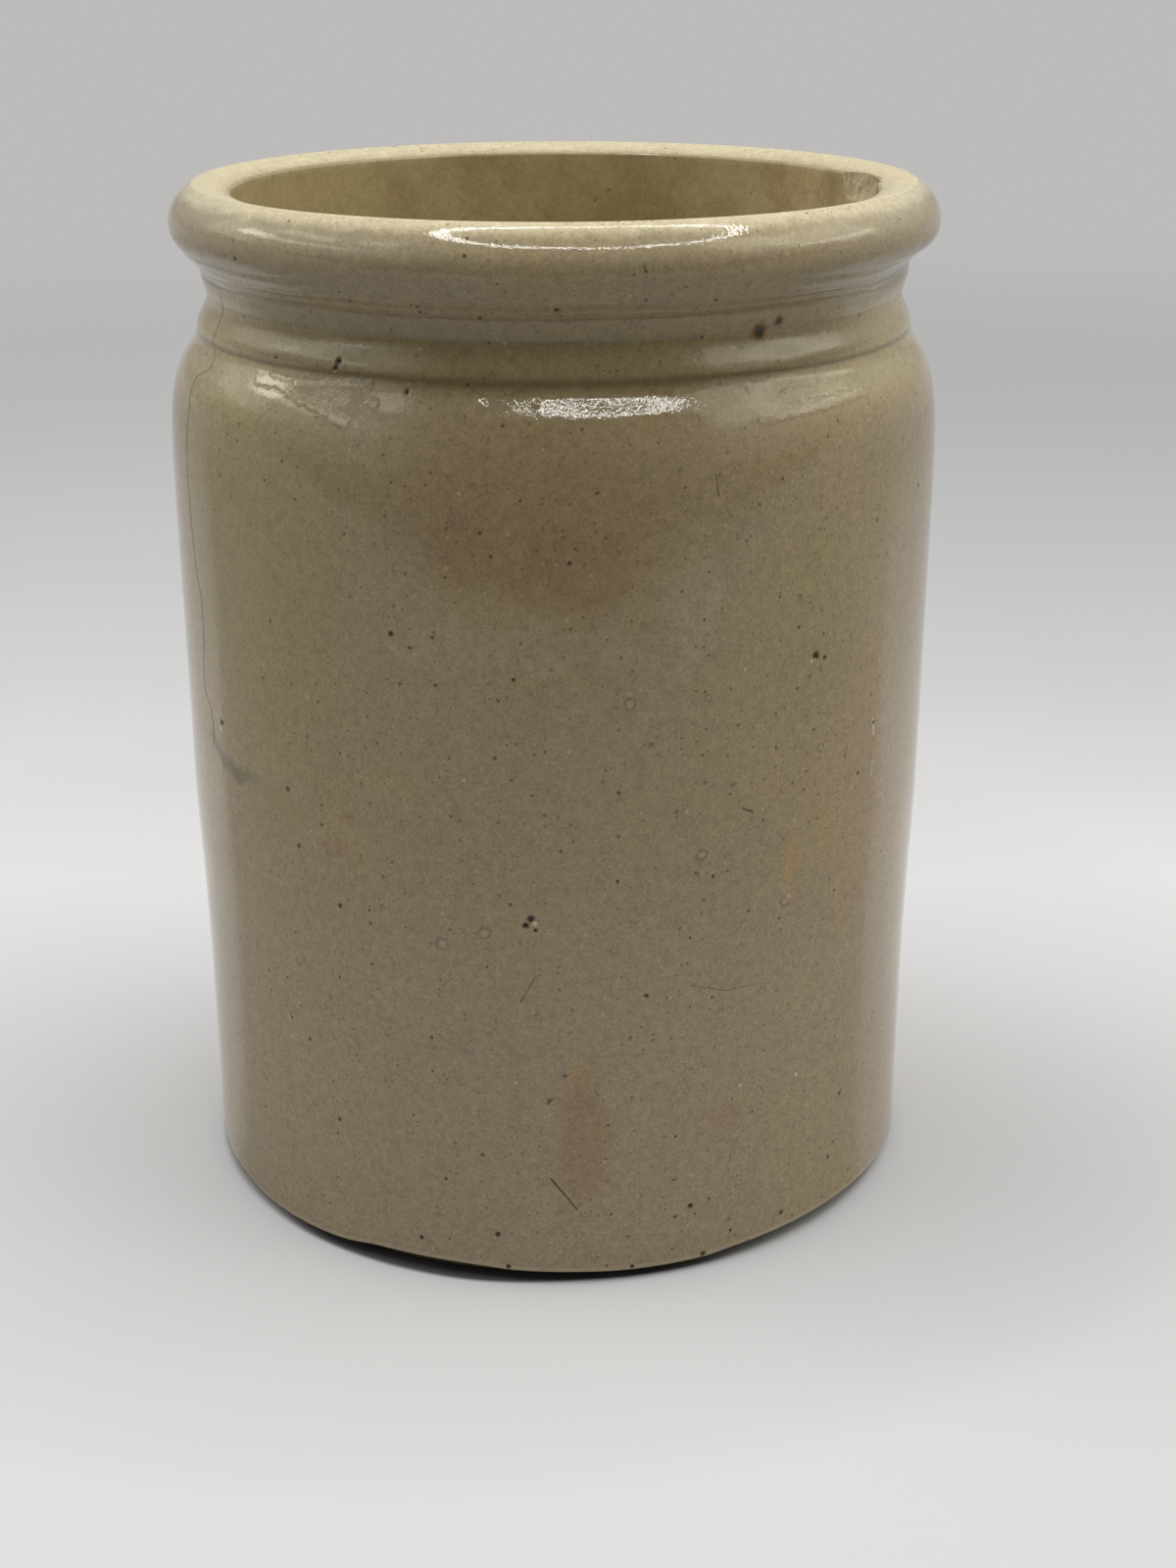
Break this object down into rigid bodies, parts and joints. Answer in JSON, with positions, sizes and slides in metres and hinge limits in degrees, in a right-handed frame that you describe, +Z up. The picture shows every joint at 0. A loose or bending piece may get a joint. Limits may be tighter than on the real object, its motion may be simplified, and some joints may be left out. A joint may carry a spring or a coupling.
{
  "type": "marmalade jar",
  "caption": "Cylindrical stoneware preserve jar with a rolled rim, a tying groove and bead ring under it, a rounded shoulder and an open mouth.",
  "frame": {"origin": "centre of the flat base, on the surface that the jar stands on", "axes": "+Z up the jar's axis to the mouth, -Y towards the side that the picture shows"},
  "size_m": [0.0798, 0.0798, 0.1062],
  "materials": {
    "salt_glaze": "glossy clear salt glaze over grey-buff stoneware with iron specks"
  },
  "bodies": {
    "root": {"jar": "salt_glaze"}
  },
  "joints": []
}
